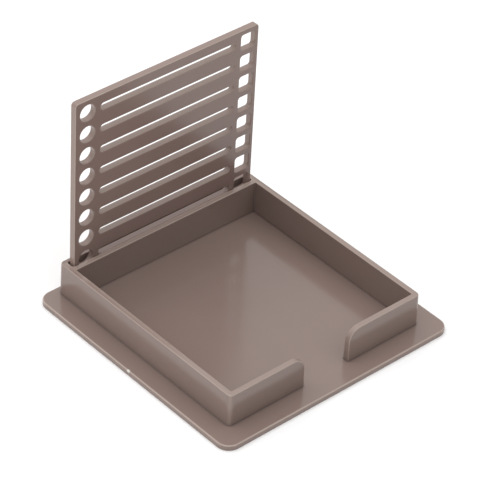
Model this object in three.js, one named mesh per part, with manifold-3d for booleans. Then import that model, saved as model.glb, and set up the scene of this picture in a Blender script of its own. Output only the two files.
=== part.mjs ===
// Desk dispenser for a pad of square sticky notes, in millimetres with +Z up.
// A moulded tray holds the pad in a shallow well with a finger gap at the front.
// A perforated back panel stands upright in a slot behind the well and lifts out.
// The origin is the middle of the underside, and the front faces -Y.

import * as THREE from 'three';
import { mergeVertices } from 'three/addons/utils/BufferGeometryUtils.js';
import Module from 'manifold-3d';

const wasm = await Module();
wasm.setup();

// Note pad and the clearance round it on the floor of the well
const noteSize = 76;
const noteSideClearance = 1.9;
const noteEndClearance = 1.35;
const wellCornerRadius = 0.2;

// Base plate, which is the floor of the well and the flange outside it
const baseThickness = 2.1;
const baseCornerRadius = 4.8;
const baseEdgeRadius = 0.5;
const baseFootRadius = 0.2;
const sideFlange = 7.55;
const frontFlange = 7.85;
const backFlange = 2.1;

// Walls of the well, which are thinnest at the top and drafted on their long faces
const wallHeight = 12.6;
const wallThickness = 2.1;
const slotWallThickness = 1.85;
const backWallThickness = 1.45;
const wallCornerRadius = 1.8;
const wallEdgeRadius = 0.35;
const wallFootRadius = 0.05;
const wallDraft = 0.25;

// Finger gap in the front wall
const gapWidth = 19.8;
const gapCornerRadius = 5;

// Back panel
const panelHeight = 78.1;
const panelThickness = 2.35;
const panelCornerRadius = 1.3;
const panelEdgeRadius = 0.3;

// Slot that holds the foot of the panel
const slotFrontClearance = 0.2;
const slotBackClearance = 0.75;
const slotEndClearance = 0.65;
const slotFloorClearance = 0.3;
const slotCornerRadius = 0.8;
const slotEdgeRadius = 0.2;

// Perforation of the panel: round holes, slits and square holes in rows
const rowCount = 8;
const topRowDrop = 5.15;
const lastRowRise = 1.05;
const roundColumnMargin = 5.15;
const squareColumnMargin = 4.6;
const roundHoleSize = 6.2;
const squareHoleSize = 6.2;
const squareCornerRadius = 1;
const slitHeight = 2.6;
const slitMargin = 2.3;
const holeEdgeRadius = 0.3;

// Fineness of curves and the overrun of every cut
const cornerSteps = 5;
const smallCornerSteps = 3;
const smallCorner = 1.5;
const edgeSteps = 3;
const gapCornerSteps = 10;
const overrun = 1;

// Places that follow from the sizes above
const wellWidth = noteSize + 2 * noteSideClearance;
const wellDepth = noteSize + 2 * noteEndClearance;
const slotWidth = panelThickness + slotFrontClearance + slotBackClearance;
const wallFootThickness = wallThickness + 2 * wallDraft;
const blockWidth = wellWidth + 2 * wallFootThickness;
const innerWallThickness = slotWallThickness + wallDraft;
const outerWallThickness = backWallThickness + wallDraft;
const blockDepth = wallFootThickness + wellDepth + innerWallThickness + slotWidth + outerWallThickness;
const baseWidth = blockWidth + 2 * sideFlange;
const baseDepth = blockDepth + frontFlange + backFlange;
const blockFrontY = frontFlange - baseDepth / 2;
const wellFrontY = blockFrontY + wallFootThickness;
const wellBackY = wellFrontY + wellDepth;
const slotFrontY = wellBackY + innerWallThickness;
const wallTopZ = baseThickness + wallHeight;
const slotLength = wellWidth + 2 * wallDraft;
const panelWidth = slotLength - 2 * slotEndClearance;
const panelFootZ = baseThickness + slotFloorClearance;
const panelBackY = slotFrontY + slotFrontClearance + panelThickness;

// Outline of a rectangle with rounded corners about its own centre, counterclockwise.
// With the radius at half a side it is a circle or a slit with round ends.
function roundedRectangle(width, depth, radius, steps) {
  const points = [];
  const reachX = width / 2 - radius;
  const reachY = depth / 2 - radius;
  const corners = [[reachX, reachY], [-reachX, reachY], [-reachX, -reachY], [reachX, -reachY]];
  corners.forEach(([x, y], corner) => {
    for (let step = 0; step <= steps; step += 1) {
      const angle = (corner + step / steps) * Math.PI / 2;
      const point = new THREE.Vector2(x + radius * Math.cos(angle), y + radius * Math.sin(angle));
      const last = points[points.length - 1];
      if (!last || last.distanceTo(point) > radius / steps / 2) {
        points.push(point);
      }
    }
  });
  if (points[0].distanceTo(points[points.length - 1]) < radius / steps / 2) {
    points.pop();
  }
  return points;
}

// Closed skin through outlines of equal point counts, stacked from low to high.
function loft(sections) {
  const count = sections[0].length;
  const positions = sections.flat().flatMap((point) => [point.x, point.y, point.z]);
  const triangles = [];
  for (let ring = 0; ring < sections.length - 1; ring += 1) {
    for (let side = 0; side < count; side += 1) {
      const low = ring * count + side;
      const lowNext = ring * count + (side + 1) % count;
      triangles.push(low, lowNext, lowNext + count);
      triangles.push(low, lowNext + count, low + count);
    }
  }
  const flat = sections[0].map((point) => new THREE.Vector2(point.x, point.y));
  const top = (sections.length - 1) * count;
  for (const [a, b, c] of THREE.ShapeUtils.triangulateShape(flat, [])) {
    triangles.push(c, b, a);
    triangles.push(top + a, top + b, top + c);
  }
  const geometry = new THREE.BufferGeometry();
  geometry.setAttribute('position', new THREE.Float32BufferAttribute(positions, 3));
  geometry.setIndex(triangles);
  return geometry;
}

// Upright bar with a rounded rectangular outline. Its profile lists heights, each with
// how far the outline is grown there, so that edges can be rounded, flared or drafted.
function bar(width, depth, radius, profile) {
  const steps = radius > smallCorner ? cornerSteps : smallCornerSteps;
  return loft(profile.map(({ z, grow }) => (
    roundedRectangle(width + 2 * grow, depth + 2 * grow, radius + grow, steps)
      .map((point) => new THREE.Vector3(point.x, point.y, z))
  )));
}

// Profile points of a rounded edge that ends at height z on a face that is drawn in by inset.
// The body lies below the face where side is 1 and above it where side is -1.
function roundedEdge(z, radius, side, inset) {
  const points = [];
  for (let step = 0; step <= edgeSteps; step += 1) {
    const angle = step / edgeSteps * Math.PI / 2;
    points.push({
      z: z - side * radius * (1 - Math.sin(angle)),
      grow: -inset - radius * (1 - Math.cos(angle)),
    });
  }
  return side > 0 ? points : points.reverse();
}

// Profile of a cut through a plate from face to face whose rims come out rounded.
function roundedCut(low, high, radius) {
  const flares = [];
  for (let step = 0; step <= edgeSteps; step += 1) {
    const angle = step / edgeSteps * Math.PI / 2;
    flares.push({ drop: radius * (1 - Math.cos(angle)), grow: radius * (1 - Math.sin(angle)) });
  }
  const lowRim = flares.map(({ drop, grow }) => ({ z: low + drop, grow }));
  const highRim = flares.map(({ drop, grow }) => ({ z: high - drop, grow })).reverse();
  return [{ z: low - overrun, grow: radius }, ...lowRim, ...highRim, { z: high + overrun, grow: radius }];
}

// Profile points of the hollow rounding between a plate and the foot of a wall.
// The wall lies inside its outline where side is 1 and outside it where side is -1.
function hollowFoot(z, radius, side) {
  const points = [];
  for (let step = 0; step <= edgeSteps; step += 1) {
    const angle = step / edgeSteps * Math.PI / 2;
    points.push({
      z: z + radius * (1 - Math.cos(angle)),
      grow: side * radius * (1 - Math.sin(angle)),
    });
  }
  return points;
}

// Profile of a pocket up through a face, with a rounded rim where it leaves the face.
// It starts with the profile points of its foot and is wider by flare at the face.
function roundedPocket(foot, face, radius, flare) {
  const points = [...foot];
  for (let step = 0; step <= edgeSteps; step += 1) {
    const angle = step / edgeSteps * Math.PI / 2;
    points.push({
      z: face - radius * (1 - Math.sin(angle)),
      grow: flare + radius * (1 - Math.cos(angle)),
    });
  }
  points.push({ z: face + overrun, grow: flare + radius });
  return points;
}

function toSolid(geometry) {
  const merged = mergeVertices(geometry);
  return new wasm.Manifold(new wasm.Mesh({
    numProp: 3,
    vertProperties: new Float32Array(merged.attributes.position.array),
    triVerts: new Uint32Array(merged.index.array),
  }));
}

function toGeometry(solid) {
  const mesh = solid.getMesh();
  const geometry = new THREE.BufferGeometry();
  geometry.setAttribute('position', new THREE.BufferAttribute(mesh.vertProperties, 3));
  geometry.setIndex(new THREE.BufferAttribute(mesh.triVerts, 1));
  const faceted = geometry.toNonIndexed();
  faceted.computeVertexNormals();
  return faceted;
}

// Solid bar moved so that its outline is centred on a place.
function solidBar(width, depth, radius, profile, x, y) {
  return toSolid(bar(width, depth, radius, profile).translate(x, y, 0));
}

// Outline of the finger gap seen from the front: upright sides on the floor, and large
// rounded corners where the wall ends, which widen the gap up to the top of the wall.
function gapOutline() {
  const cornerRadius = Math.min(gapCornerRadius, wallHeight);
  const centreX = gapWidth / 2 + cornerRadius;
  const centreZ = wallTopZ - cornerRadius;
  const right = [new THREE.Vector2(gapWidth / 2, baseThickness)];
  for (let step = 0; step <= gapCornerSteps; step += 1) {
    const angle = step / gapCornerSteps * Math.PI / 2;
    const x = centreX - cornerRadius * Math.cos(angle);
    right.push(new THREE.Vector2(x, centreZ + cornerRadius * Math.sin(angle)));
  }
  right.push(new THREE.Vector2(centreX, wallTopZ + overrun));
  const left = right.map((point) => new THREE.Vector2(-point.x, point.y)).reverse();
  return [...right, ...left];
}

function fingerGap() {
  const geometry = new THREE.ExtrudeGeometry(new THREE.Shape(gapOutline()), {
    depth: wallFootThickness + 2 * overrun,
    bevelEnabled: false,
  });
  geometry.deleteAttribute('normal');
  geometry.deleteAttribute('uv');
  geometry.rotateX(Math.PI / 2);
  geometry.translate(0, wellFrontY + overrun, 0);
  return toSolid(geometry);
}

function basePlate() {
  const profile = [
    ...roundedEdge(0, baseFootRadius, -1, 0),
    ...roundedEdge(baseThickness, baseEdgeRadius, 1, 0),
  ];
  return solidBar(baseWidth, baseDepth, baseCornerRadius, profile, 0, 0);
}

function wallBlock() {
  const profile = [{ z: baseThickness / 2, grow: 0 }];
  profile.push(...hollowFoot(baseThickness, wallFootRadius, 1));
  profile.push(...roundedEdge(wallTopZ, wallEdgeRadius, 1, wallDraft));
  const centreY = blockFrontY + blockDepth / 2;
  return solidBar(blockWidth, blockDepth, wallCornerRadius, profile, 0, centreY);
}

function noteWell() {
  const foot = hollowFoot(baseThickness, wallFootRadius, -1);
  const profile = roundedPocket(foot, wallTopZ, wallEdgeRadius, wallDraft);
  return solidBar(wellWidth, wellDepth, wellCornerRadius, profile, 0, wellFrontY + wellDepth / 2);
}

function panelSlot() {
  const cornerRadius = Math.min(slotCornerRadius, slotWidth / 2);
  const foot = [{ z: baseThickness, grow: 0 }];
  const profile = roundedPocket(foot, wallTopZ, slotEdgeRadius, 0);
  return solidBar(slotLength, slotWidth, cornerRadius, profile, 0, slotFrontY + slotWidth / 2);
}

function trayGeometry() {
  const walls = wallBlock().subtract(noteWell()).subtract(panelSlot()).subtract(fingerGap());
  return toGeometry(basePlate().add(walls));
}

// The panel is modelled lying on its back, with its foot along the X axis.
function perforation() {
  const cut = (width, height, radius, x, y) => (
    solidBar(width, height, radius, roundedCut(0, panelThickness, holeEdgeRadius), x, y)
  );
  const roundX = roundColumnMargin - panelWidth / 2;
  const squareX = panelWidth / 2 - squareColumnMargin;
  const slitLeftX = roundX + roundHoleSize / 2 + slitMargin;
  const slitRightX = squareX - squareHoleSize / 2 - slitMargin;
  const slitLength = slitRightX - slitLeftX;
  const slitX = (slitLeftX + slitRightX) / 2;
  const topRowY = panelHeight - topRowDrop;
  const lastRowY = wallTopZ - panelFootZ + lastRowRise;
  const cuts = [];
  for (let row = 0; row < rowCount; row += 1) {
    const y = topRowY - row * (topRowY - lastRowY) / (rowCount - 1);
    cuts.push(cut(roundHoleSize, roundHoleSize, roundHoleSize / 2, roundX, y));
    cuts.push(cut(slitLength, slitHeight, slitHeight / 2, slitX, y));
    cuts.push(cut(squareHoleSize, squareHoleSize, squareCornerRadius, squareX, y));
  }
  return cuts.reduce((joined, next) => joined.add(next));
}

function panelGeometry() {
  const profile = [
    ...roundedEdge(0, panelEdgeRadius, -1, 0),
    ...roundedEdge(panelThickness, panelEdgeRadius, 1, 0),
  ];
  const plate = solidBar(panelWidth, panelHeight, panelCornerRadius, profile, 0, panelHeight / 2);
  return toGeometry(plate.subtract(perforation()));
}

// Satin moulded plastic in a warm grey brown, the same for both pieces
function moulding(name, geometry) {
  const material = new THREE.MeshStandardMaterial({ color: 0x85756b, roughness: 0.38, metalness: 0 });
  const mesh = new THREE.Mesh(geometry, material);
  mesh.name = name;
  return mesh;
}

const dispenser = new THREE.Group();

const tray = moulding('tray', trayGeometry());
dispenser.add(tray);

const backPanel = moulding('back_panel', panelGeometry());
backPanel.rotation.x = Math.PI / 2;
backPanel.position.set(0, panelBackY, panelFootZ);
dispenser.add(backPanel);

export default dispenser;
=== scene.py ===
import math

import bpy
from mathutils import Matrix, Vector
from mathutils.geometry import tessellate_polygon


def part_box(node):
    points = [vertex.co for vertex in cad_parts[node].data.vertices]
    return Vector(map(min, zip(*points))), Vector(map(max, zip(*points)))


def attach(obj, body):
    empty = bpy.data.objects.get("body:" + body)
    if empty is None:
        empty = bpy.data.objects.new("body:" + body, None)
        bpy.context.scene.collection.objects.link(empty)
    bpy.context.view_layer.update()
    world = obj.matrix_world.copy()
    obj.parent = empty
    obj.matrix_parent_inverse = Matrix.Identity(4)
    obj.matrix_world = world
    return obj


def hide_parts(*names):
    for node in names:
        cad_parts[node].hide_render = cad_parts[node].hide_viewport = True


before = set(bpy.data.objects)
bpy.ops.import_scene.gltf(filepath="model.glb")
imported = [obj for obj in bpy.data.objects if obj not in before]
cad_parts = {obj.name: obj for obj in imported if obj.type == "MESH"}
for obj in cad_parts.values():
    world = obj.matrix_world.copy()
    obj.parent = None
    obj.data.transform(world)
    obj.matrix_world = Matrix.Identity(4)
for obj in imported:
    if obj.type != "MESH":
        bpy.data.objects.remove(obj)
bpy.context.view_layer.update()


# The camera stands where the photograph was taken from: in front of the dispenser, to its
# left and above it, with a long lens. Its place, its turns and the length of the lens were
# fitted to the object's straight edges.
camera_place = (-0.49957, -0.52946, 0.59632)
camera_yaw, camera_dip, camera_roll = (math.radians(turn) for turn in (43.414, 37.948, 3.342))
film_width, lens_length, sight_limit = 36, 200, 20
ahead = Vector((math.sin(camera_yaw) * math.cos(camera_dip),
                math.cos(camera_yaw) * math.cos(camera_dip), -math.sin(camera_dip)))
level = Vector((math.cos(camera_yaw), -math.sin(camera_yaw), 0))
rise = level.cross(ahead)
right = level * math.cos(camera_roll) + rise * math.sin(camera_roll)
upright = rise * math.cos(camera_roll) - level * math.sin(camera_roll)
camera = bpy.data.objects.new("camera", bpy.data.cameras.new("camera"))
camera.data.sensor_width = film_width
camera.data.lens = lens_length
camera.data.clip_end = sight_limit
camera.matrix_world = Matrix.Translation(camera_place) @ Matrix(
    (right, upright, -ahead)).transposed().to_4x4()
bpy.context.collection.objects.link(camera)
bpy.context.scene.camera = camera


# The floor is pale paper in a white light tent. Most light comes softly through the tent's
# roof and back, less through its left side and from a lamp at the front right.
class Wire:
    """A shader socket that can be used in Python expressions."""

    def __init__(self, tree, socket):
        self.tree, self.socket = tree, socket

    def node(self, kind, settings=None, inputs=None, output=0):
        """New node in the same tree, as the wire that leaves one of its outputs."""
        node = self.tree.nodes.new(kind)
        for name, value in (settings or {}).items():
            setattr(node, name, value)
        for name, value in (inputs or {}).items():
            if isinstance(value, Wire):
                self.tree.links.new(value.socket, node.inputs[name])
            else:
                node.inputs[name].default_value = value
        return Wire(self.tree, node.outputs[output])

    def maths(self, operation, *values):
        return self.node("ShaderNodeMath", {"operation": operation}, dict(enumerate(values)))

    def __add__(self, other):
        return self.maths("ADD", self, other)

    def __radd__(self, other):
        return self.maths("ADD", other, self)

    def __sub__(self, other):
        return self.maths("SUBTRACT", self, other)

    def __rsub__(self, other):
        return self.maths("SUBTRACT", other, self)

    def __mul__(self, other):
        return self.maths("MULTIPLY", self, other)

    def __rmul__(self, other):
        return self.maths("MULTIPLY", other, self)


def shader(name):
    """New material, a wire in its tree to start from, and its main shader node."""
    material = bpy.data.materials.new(name)
    material.use_nodes = True
    tree = material.node_tree
    return material, Wire(tree, None), tree.nodes["Principled BSDF"]


def plug(wire, node, name):
    """Join a wire to a named input of a node."""
    wire.tree.links.new(wire.socket, node.inputs[name])


def soft_light(facing, focus):
    """Light that is full from one direction and fades to nothing at right angles to it."""
    return facing.maths("POWER", facing.maths("MAXIMUM", facing, 0.0), focus)


roof_light, back_light, left_light, lamp_light = 1.79, 1.44, 0.55, 0.42
tent_focus, lamp_focus = 2, 8
lamp_right, lamp_front, lamp_up = 0.5, 0.5, 0.707

world = bpy.data.worlds.new("light_tent")
world.use_nodes = True
background = world.node_tree.nodes["Background"]
background.inputs["Color"].default_value = (1, 1, 1, 1)
tent = Wire(world.node_tree, None)
direction = tent.node("ShaderNodeTexCoord", output="Generated")
to_right, to_back, to_roof = (tent.node("ShaderNodeSeparateXYZ", inputs={0: direction}, output=axis)
                              for axis in ("X", "Y", "Z"))
roof = roof_light * soft_light(to_roof, tent_focus)
back_wall = back_light * soft_light(to_back, tent_focus)
left_wall = left_light * soft_light(0 - to_right, tent_focus)
to_lamp = lamp_right * to_right - lamp_front * to_back + lamp_up * to_roof
lamp = lamp_light * soft_light(to_lamp, lamp_focus)
plug(roof + back_wall + left_wall + lamp, background, "Strength")
bpy.context.scene.world = world
bpy.context.scene.view_settings.view_transform = "Standard"

floor_half = 3
floor_mesh = bpy.data.meshes.new("floor")
floor_mesh.from_pydata([(sign_x * floor_half, sign_y * floor_half, 0) for sign_x, sign_y in
                        ((-1, -1), (1, -1), (1, 1), (-1, 1))], [], [(0, 1, 2, 3)])
floor = bpy.data.objects.new("floor", floor_mesh)
bpy.context.collection.objects.link(floor)
floor_paper, _, floor_shader = shader("floor_paper")
for socket, value in (("Roughness", 0.9), ("Specular IOR Level", 0.1),
                      ("Base Color", (0.94, 0.94, 0.94, 1)),
                      ("Emission Color", (1, 1, 1, 1)), ("Emission Strength", 0.04)):
    floor_shader.inputs[socket].default_value = value
floor_mesh.materials.append(floor_paper)


# The tray is one injection moulding in warm grey brown plastic: a flanged base plate, the
# walls of the note well with a finger gap at the front, and a slot behind the well. It is
# drawn from its own mould drawing in millimetres, with every edge rounded as moulded.
metre = 1000


class Skin:
    """The closed skin of one moulding, drawn in millimetres as points and faces.

    A point is its place, its true normal, and how strongly a painted highlight lightens the
    plastic there, from 0 for none up to 1.
    """

    def __init__(self):
        self.points, self.normals, self.polish, self.faces, self.known = [], [], [], [], {}

    def add(self, place, normal, polish=0.0):
        """Number of a point. Two places that round to the same micrometre are one point."""
        key = tuple(round(value, 3) for value in place)
        if key not in self.known:
            self.known[key] = len(self.points)
            self.points.append(Vector(place))
            self.normals.append(Vector(normal).normalized())
            self.polish.append(polish)
        return self.known[key]

    def face(self, corners):
        """Face between numbered points, turned outwards, or none where they fall together."""
        loop = [corner for i, corner in enumerate(corners) if corner != corners[i - 1]]
        if len(loop) < 3:
            return
        turn, out = Vector(), Vector()
        for i, corner in enumerate(loop):
            turn += self.points[loop[i - 1]].cross(self.points[corner])
            out += self.normals[corner]
        self.faces.append(loop if turn.dot(out) > 0 else loop[::-1])

    def sheet(self, rows, closed=False):
        """Quads between rows of points, closed round when each row is a ring."""
        grid = [[self.add(*point) for point in row] for row in rows]
        for low, high in zip(grid, grid[1:]):
            for i in range(0 if closed else 1, len(low)):
                self.face([low[i - 1], low[i], high[i], high[i - 1]])

    def flat(self, loops, normal):
        """Flat face inside the first loop of places, with the other loops cut out of it."""
        corners = [self.add(place, normal) for loop in loops for place in loop]
        outlines = [[Vector(place) for place in loop] for loop in loops]
        for triangle in tessellate_polygon(outlines):
            self.face([corners[i] for i in triangle])

    def build(self, name, stand):
        """The piece in metres, set in its place by a matrix."""
        mesh = bpy.data.meshes.new(name)
        mesh.from_pydata([stand @ (point / metre) for point in self.points], [], self.faces)
        mesh.shade_smooth()
        turn = stand.to_3x3()
        mesh.normals_split_custom_set_from_vertices([turn @ normal for normal in self.normals])
        # Each point's painted highlight, kept as a mesh attribute for the material.
        polish = mesh.attributes.new("painted_highlight", "FLOAT", "POINT")
        polish.data.foreach_set("value", self.polish)
        piece = bpy.data.objects.new(name, mesh)
        bpy.context.collection.objects.link(piece)
        return piece


def solid_box(node):
    """Lowest and highest corner of a solid, in millimetres."""
    return [[value * metre for value in corner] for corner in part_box(node)]


def arc(steps, start=0.0, end=90.0):
    """Angles in radians from start to end, given in degrees."""
    return [math.radians(start + (end - start) * i / steps) for i in range(steps + 1)]


def rounded_rectangle(width, depth, radius, steps, middle_y=0.0):
    """Outline as (place, outward direction) pairs, counterclockwise from the right side."""
    outline = []
    corners = ((1, 1, 0), (-1, 1, 90), (-1, -1, 180), (1, -1, 270))
    for sign_x, sign_y, start in corners:
        for angle in arc(steps, start, start + 90):
            out = Vector((math.cos(angle), math.sin(angle)))
            core = Vector((sign_x * (width / 2 - radius),
                           middle_y + sign_y * (depth / 2 - radius)))
            outline.append((core + out * radius, out))
    return outline


def ring(outline, grow, z, tilt, side=1, polish=0.0):
    """Row of points: the outline grown and set at a height, with normals tilted upwards.

    Side -1 turns the normals inwards, as in a hole.
    """
    return [((*(place + out * grow), z), (*(out * side * math.cos(tilt)), math.sin(tilt)),
             polish) for place, out in outline]


def places(row):
    """Only the places of a row of points."""
    return [point[0] for point in row]


def painted_highlight(angle, middle, before=0.0, after=0.0):
    """Painted highlight at an angle over a rounded edge, from its middle and the faces that it
    joins.
    """
    return middle * math.sin(2 * angle) + before * math.cos(angle) + after * math.sin(angle)


def plate_edge(skin, outline, thickness, low_edge, high_edge, side=1, rim=0.0, flank=0.0):
    """Edge all the way through a plate: round it for side 1, and in a hole for side -1.

    Its high rim and its flank get painted highlights of the amounts given. It gives back the loops
    where it meets the plate's low face and high face.
    """
    rows = [ring(outline, -side * low_edge * (1 - math.sin(angle)),
                 low_edge * (1 - math.cos(angle)), angle - math.pi / 2,
                 side, painted_highlight(angle, 0, 0, flank)) for angle in arc(edge_steps)]
    rows += [ring(outline, -side * high_edge * (1 - math.cos(angle)),
                  thickness - high_edge * (1 - math.sin(angle)), angle,
                  side, painted_highlight(angle, rim, flank)) for angle in arc(edge_steps)]
    skin.sheet(rows, closed=True)
    return places(rows[0]), places(rows[-1])


tray_box, panel_box = solid_box("tray"), solid_box("back_panel")
base_width, base_depth = (tray_box[1][i] - tray_box[0][i] for i in (0, 1))
base_top, base_corner, base_edge, base_foot = 2.1, 4.8, 0.5, 0.2
front_flange, back_flange, side_flange = 7.85, 2.1, 7.55
wall_top, wall_thickness, slot_wall = tray_box[1][2], 2.1, 1.85
wall_edge, wall_foot, wall_draft = 0.35, 0.05, 0.25
block_corner, well_corner, slot_corner, slot_edge = 1.8, 0.2, 0.8, 0.2
gap_half, gap_corner = 9.9, 5
panel_play_front, panel_play_back, panel_play_end = 0.2, 0.75, 0.65
edge_steps, base_steps, block_steps, slot_steps, gap_steps = 5, 14, 5, 6, 12
# Painted highlights: how much the colour is lightened on the base plate's rim, the wall's rims and
# level tops, the top between well and slot, and the wall's upright outer corners.
base_highlight, rim_highlight, level_highlight, slot_wall_highlight = 0.85, 0.47, 0.25, 0.4
upright_highlight, upright_focus = 0.4, 3

wall_low = base_top + wall_foot
wall_lean = math.atan(wall_draft / (wall_top - base_top))
block_front, block_back = front_flange - base_depth / 2, base_depth / 2 - back_flange
block_half = base_width / 2 - side_flange
slot_front, slot_back = panel_box[0][1] - panel_play_front, panel_box[1][1] + panel_play_back
slot_half = panel_box[1][0] + panel_play_end
well_front = block_front + wall_thickness + 2 * wall_draft
well_back = slot_front - slot_wall - wall_draft
well_half = block_half - wall_thickness - 2 * wall_draft

tray_skin = Skin()
base_outline = rounded_rectangle(base_width, base_depth, base_corner, base_steps)
base_under, base_over = plate_edge(tray_skin, base_outline, base_top, base_foot, base_edge,
                                   rim=base_highlight)
tray_skin.flat([base_under], (0, 0, -1))


def wall_face(front, back, half, radius, side):
    """One long face of the wall, from the right end of the gap round to the left end.

    Each station is its foot, its outward direction, and the height and direction of its
    rim: upright along the top of the wall, and turning down round the corners at the gap.
    """
    reach = gap_corner - wall_edge
    stations = []
    for angle in arc(gap_steps, 180, 90):
        lean = Vector((math.cos(angle), 0, math.sin(angle)))
        foot = Vector((gap_half + gap_corner + reach * lean.x, front))
        stations.append((foot, Vector((0, -side)), wall_top - gap_corner + reach * lean.z, lean))
    outline = rounded_rectangle(2 * half, back - front, radius, block_steps, (front + back) / 2)
    front_right = len(outline) * 3 // 4
    for place, out in outline[front_right:] + outline[:front_right]:
        stations.append((place, out * side, wall_top - wall_edge, Vector((0, 0, 1))))
    mirrored = [(Vector((-foot.x, foot.y)), out.copy(), z, Vector((-lean.x, 0, lean.z)))
                for foot, out, z, lean in stations[gap_steps::-1]]
    return stations + mirrored


def corner_highlight(foot, out):
    """Painted highlight on the wall's upright outer corners, strongest in the middle of a corner.
    """
    if out.x * foot.x <= 0:
        return 0.0
    return upright_highlight * abs(2 * out.x * out.y) ** upright_focus


def top_highlight(y):
    """Painted highlight on top of the wall: most between well and slot, and none behind the slot.
    """
    if y > slot_back - slot_edge:
        return 0.0
    return slot_wall_highlight if y > well_back - wall_edge else level_highlight


def rim_point(station, angle):
    """Point of a station's rounded rim, at an angle over the edge."""
    foot, out, z, lean = station
    over, inward = wall_edge * math.sin(angle), wall_edge * (1 - math.cos(angle))
    height = z + over * lean.z
    draft = wall_draft * (height - wall_low) / (wall_top - wall_low)
    place = foot - out * (inward + draft)
    tilt = max(angle, wall_lean)
    normal = Vector((*out, 0)) * math.cos(tilt) + lean * math.sin(tilt)
    polish = painted_highlight(angle, rim_highlight, corner_highlight(foot, out), top_highlight(foot.y))
    return (place.x + over * lean.x, place.y, height), normal, polish


def gap_edge(station, angle):
    """Foot and direction of the upright edge where a face of the wall turns into the gap."""
    foot, out, z, lean = station
    over, inward = wall_edge * math.sin(angle), wall_edge * (1 - math.cos(angle))
    normal = Vector((*out, 0)) * math.cos(angle) + lean * math.sin(angle)
    return Vector((foot.x + over * lean.x, foot.y - out.y * inward)), Vector(normal.xy)


# The outside and the inside of the wall, each with its rim and its two ends at the gap
footprints, rims = [], []
for stations in (wall_face(block_front, block_back, block_half, block_corner, 1),
                 wall_face(well_front, well_back, well_half, well_corner, -1)):
    rim = [[rim_point(station, angle) for angle in arc(edge_steps)] for station in stations]
    foot_row = [((*foot, wall_low), (*out, math.tan(wall_lean)), corner_highlight(foot, out))
                for foot, out, z, lean in stations]
    tray_skin.sheet([foot_row, [row[0] for row in rim]])
    tray_skin.sheet(rim)
    ends = []
    for station, top in ((stations[0], rim[0]), (stations[-1], rim[-1])):
        end = [gap_edge(station, angle) for angle in arc(edge_steps)]
        low = [((*foot, wall_low), (*out, 0), painted_highlight(angle, rim_highlight))
               for (foot, out), angle in zip(end, arc(edge_steps))]
        tray_skin.sheet([low, top])
        ends.append(end)
    along = [(foot, out) for foot, out, z, lean in stations[1:-1]]
    footprints.append(ends[0][::-1] + along + ends[1])
    rims.append([row[-1] for row in rim])

# The wall's two ends at the gap, which turn down from its top in a quarter circle
for turned in (slice(0, gap_steps + 1), slice(-gap_steps - 1, None)):
    tray_skin.sheet([rims[0][turned], rims[1][turned]])
for end in (0, -1):
    low = [((*feet[end][0], wall_low), (*feet[end][1], 0)) for feet in footprints]
    tray_skin.sheet([low, [rim[end] for rim in rims]])

# The slot for the panel, and the level top of the wall round it and round the well
slot_outline = rounded_rectangle(2 * slot_half, slot_back - slot_front, slot_corner,
                                 slot_steps, (slot_front + slot_back) / 2)
slot_rows = [ring(slot_outline, slot_edge * (1 - math.sin(angle)),
                  wall_top - slot_edge * (1 - math.cos(angle)), math.pi / 2 - angle,
                  -1, painted_highlight(angle, 1, 1)) for angle in arc(edge_steps)]
slot_rows.append(ring(slot_outline, 0, base_top, 0, -1))
tray_skin.sheet([[(place, normal, polish * top_highlight(place[1]))
                  for place, normal, polish in row] for row in slot_rows], closed=True)
tray_skin.flat([places(slot_rows[-1])], (0, 0, 1))
outer_top, inner_top = (places(rim[gap_steps:-gap_steps]) for rim in rims)
tray_skin.flat([outer_top + inner_top[::-1], places(slot_rows[0])], (0, 0, 1))

# The small fillet at the foot of the wall, and the top of the base plate
foot_rows = [ring(footprints[0] + footprints[1][::-1], wall_foot * (1 - math.cos(angle)),
                  base_top + wall_foot * (1 - math.sin(angle)), angle)
             for angle in arc(edge_steps)]
tray_skin.sheet(foot_rows, closed=True)
tray_skin.flat([base_over, places(foot_rows[-1])], (0, 0, 1))

tray = tray_skin.build("moulded_tray", Matrix.Identity(4))
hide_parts("tray")
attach(tray, "tray")


def mixed(share, base, over):
    """Colour that goes from base to over as the share, a wire, goes from 0 to 1.

    A Mix node has its colours at inputs 6 and 7 and at output 2.
    """
    base, over = (colour if isinstance(colour, Wire) else (*colour, 1) for colour in (base, over))
    return share.node("ShaderNodeMix", {"data_type": "RGBA"}, {0: share, 6: base, 7: over}, 2)


def shaded(tone, amount):
    """The tone made darker or lighter by an amount."""
    return tuple(channel * amount for channel in tone)


mottle_scale, mottle_detail, mottle_depth = 55, 3, 0.04
grain_scale, grain_detail, grain_depth, grain_strength = 2600, 2, 0.04 / metre, 0.06
# The pale colour of the painted highlights, and the runner scar's own colour.
highlight_tone, scar_tone = (0.462, 0.372, 0.317), (0.72, 0.7, 0.65)
scar_radius, scar_fade = 1.05 / metre, 0.5 / metre
# Painted shade in creases: how far it reaches, how strong it is, and how dark it goes.
crease_reach, crease_amount, crease_shade = 1 / metre, 0.9, 0.25
gloss_swing, plastic_ior = 0.03, 1.5


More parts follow.
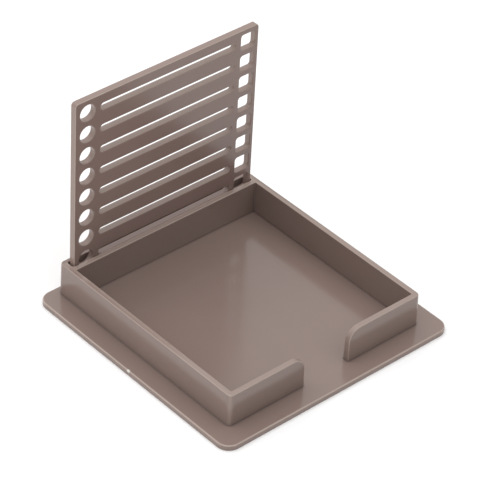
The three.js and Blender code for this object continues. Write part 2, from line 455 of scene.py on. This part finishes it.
def satin_plastic(name, tone, roughness, scar=None):
    """Moulded plastic with a satin skin: faint flow mottling, a very fine grain, painted highlights
    on its edges, painted shade in its creases, and the pale scar of its runner where it has one."""
    material, wire, main = shader(name)
    place = wire.node("ShaderNodeTexCoord", output="Object")
    flow, grain = (wire.node("ShaderNodeTexNoise", inputs={
        "Vector": place, "Scale": scale, "Detail": detail})
        for scale, detail in ((mottle_scale, mottle_detail), (grain_scale, grain_detail)))
    colour = mixed(flow, shaded(tone, 1 - mottle_depth), shaded(tone, 1 + mottle_depth))
    # Painted highlight: each point's stored value lightens the colour towards the highlight tone.
    polish = wire.node("ShaderNodeAttribute", {"attribute_name": "painted_highlight"}, output="Fac")
    colour = mixed(polish, colour, highlight_tone)
    if scar:
        away = wire.node("ShaderNodeVectorMath", {"operation": "DISTANCE"},
                         {0: place, 1: scar}, "Value")
        colour = mixed((scar_radius - away) * (1 / scar_fade), colour, scar_tone)
    # Painted shade: the colour goes darker where the moulding's own surfaces close in, at creases
    # and corners such as the foot of the wall.
    openness = wire.node("ShaderNodeAmbientOcclusion", {"samples": 8, "only_local": True},
                         {"Distance": crease_reach}, "AO")
    colour = mixed(crease_amount * (1 - openness), colour, shaded(tone, crease_shade))
    plug(colour, main, "Base Color")
    plug(roughness + (flow + grain - 1) * gloss_swing, main, "Roughness")
    plug(wire.node("ShaderNodeBump", inputs={"Strength": grain_strength, "Distance": grain_depth,
                                             "Height": grain}), main, "Normal")
    main.inputs["IOR"].default_value = plastic_ior
    return material


tray_tone, tray_roughness = (0.245, 0.1785, 0.1555), 0.16
scar_out, scar_back = 0.3, 0.5
runner_scar = [value / metre for value in (-base_width / 2 - scar_out, scar_back, base_top)]
tray.data.materials.append(satin_plastic("tray_satin", tray_tone, tray_roughness, runner_scar))


# The back panel is a flat moulding in a slightly redder mix of the tray's plastic, which
# stands loose in the slot. Each of its eight rows has a round hole on the left, a long slit
# and a square hole on the right.
panel_width, panel_thickness, panel_height = (panel_box[1][i] - panel_box[0][i] for i in range(3))
panel_corner, panel_edge, hole_edge, back_edge = 1.3, 0.3, 0.3, 0.06
row_count, top_inset, bottom_rise = 8, 5.15, 1.05
round_inset, square_inset, slit_gap = 5.15, 4.6, 2.3
hole_size, square_corner, slit_height = 6.2, 1, 2.6
panel_steps, round_steps, slit_steps, square_steps = 8, 12, 8, 6
# Painted highlights on the panel: on its outline and sides, and on the rims and walls of its holes,
# weaker row by row downwards and nearly none on the lowest row; the shares set how much goes on the
# short holes and on the hole rims.
outline_highlight, side_highlight = 0.7, 0.2
top_hole_highlight, highlight_drop, lowest_hole_highlight = 0.5, 0.045, 0.05
short_hole_share, hole_rim_share = 0.6, 0.3

top_row, bottom_row = panel_height - top_inset, wall_top + bottom_rise - panel_box[0][2]
round_x, square_x = round_inset - panel_width / 2, panel_width / 2 - square_inset
slit_length, slit_x = square_x - round_x - hole_size - 2 * slit_gap, (round_x + square_x) / 2

# The panel is drawn lying on its back and then stood up in the slot.
panel_skin = Skin()
panel_outline = rounded_rectangle(panel_width, panel_height, panel_corner, panel_steps,
                                  panel_height / 2)
loops = [plate_edge(panel_skin, panel_outline, panel_thickness, back_edge, panel_edge,
                    1, outline_highlight, side_highlight)]
round_hole = rounded_rectangle(hole_size, hole_size, hole_size / 2, round_steps)
slit = rounded_rectangle(slit_length, slit_height, slit_height / 2, slit_steps)
square_hole = rounded_rectangle(hole_size, hole_size, square_corner, square_steps)
for row in range(row_count):
    y = top_row - row * (top_row - bottom_row) / (row_count - 1)
    polish = top_hole_highlight - highlight_drop * row if row < row_count - 1 else lowest_hole_highlight
    for hole, x, share in ((round_hole, round_x, short_hole_share), (slit, slit_x, 1),
                           (square_hole, square_x, short_hole_share)):
        outline = [(place + Vector((x, y)), out) for place, out in hole]
        loops.append(plate_edge(panel_skin, outline, panel_thickness, back_edge, hole_edge,
                                -1, hole_rim_share * polish, share * polish))
panel_skin.flat([back for back, front in loops], (0, 0, -1))
panel_skin.flat([front for back, front in loops], (0, 0, 1))

standing = Matrix.Translation((0, panel_box[1][1] / metre, panel_box[0][2] / metre)) @ (
    Matrix.Rotation(math.pi / 2, 4, "X"))
panel = panel_skin.build("moulded_back_panel", standing)
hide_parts("back_panel")
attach(panel, "back_panel")
panel_tone, panel_roughness = (0.2385, 0.1655, 0.144), 0.2
panel.data.materials.append(satin_plastic("panel_satin", panel_tone, panel_roughness))
